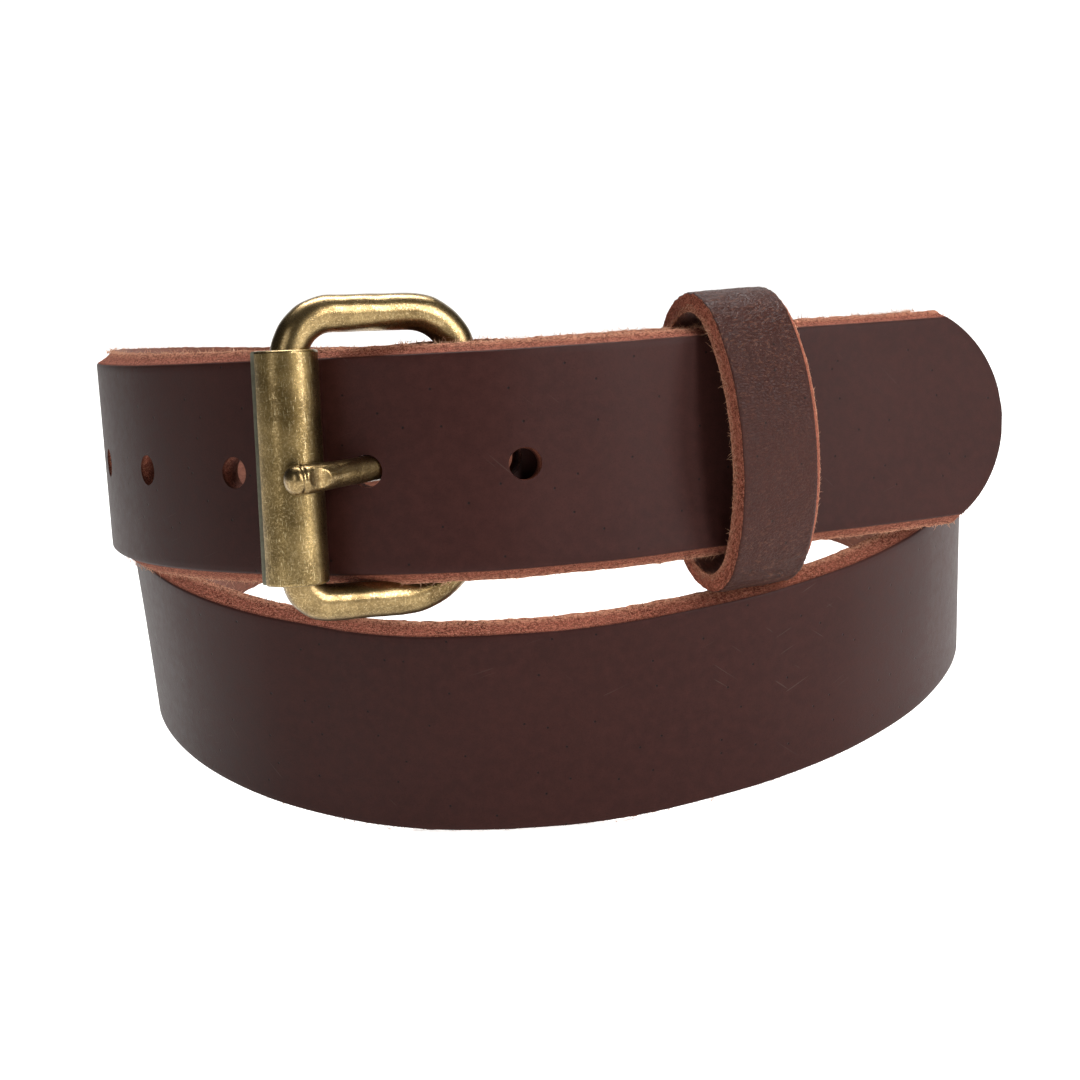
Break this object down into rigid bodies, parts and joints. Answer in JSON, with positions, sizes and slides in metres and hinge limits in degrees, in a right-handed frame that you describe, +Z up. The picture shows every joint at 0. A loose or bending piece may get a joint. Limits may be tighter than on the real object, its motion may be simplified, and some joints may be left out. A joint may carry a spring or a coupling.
{
  "type": "leather belt",
  "caption": "Leather dress belt, coiled in loops and buckled through a roller buckle, with its free end under a leather keeper loop.",
  "frame": {"origin": "centre of the coil's bounding box, on the ground", "axes": "+Z up, the buckle faces -Y, the belt's rounded tip points to +X"},
  "size_m": [0.172, 0.1832, 0.0928],
  "materials": {
    "strap_leather": "smooth full-grain, dark brown, waxed",
    "keeper_leather": "smooth full-grain, dark brown, creased",
    "buckle_brass": "antiqued, worn bright on the high spots",
    "staple_steel": "plain wire"
  },
  "bodies": {
    "root": {"strap": "strap_leather", "screw_post_1": "buckle_brass", "screw_post_2": "buckle_brass", "post_screw_1": "buckle_brass", "post_screw_2": "buckle_brass"},
    "buckle_frame": {"buckle_frame": "buckle_brass"},
    "roller": {"roller": "buckle_brass"},
    "prong": {"prong": "buckle_brass"},
    "keeper": {"keeper_loop": "keeper_leather", "keeper_staple_1": "staple_steel", "keeper_staple_2": "staple_steel"}
  },
  "joints": [
    {"name": "buckle_swing", "type": "hinge", "parent": "root", "child": "buckle_frame", "pos_m": [-0.01107, -0.07034, 0.0654], "axis": [0.0213, 0.0775, 0.9968], "range_deg": [0, 3]},
    {"name": "roller_spin", "type": "hinge", "parent": "buckle_frame", "child": "roller", "pos_m": [-0.0382, -0.08052, 0.06677], "axis": [0.0213, 0.0775, 0.9968], "continuous": true},
    {"name": "prong_lift", "type": "hinge", "parent": "buckle_frame", "child": "prong", "pos_m": [-0.01107, -0.07034, 0.0654], "axis": [0.0213, 0.0775, 0.9968], "range_deg": [0, 3]},
    {"name": "keeper_slide", "type": "slide", "parent": "root", "child": "keeper", "axis": [0.8942, 0.4478, 0], "range_m": [-0.002, 0.005]}
  ]
}
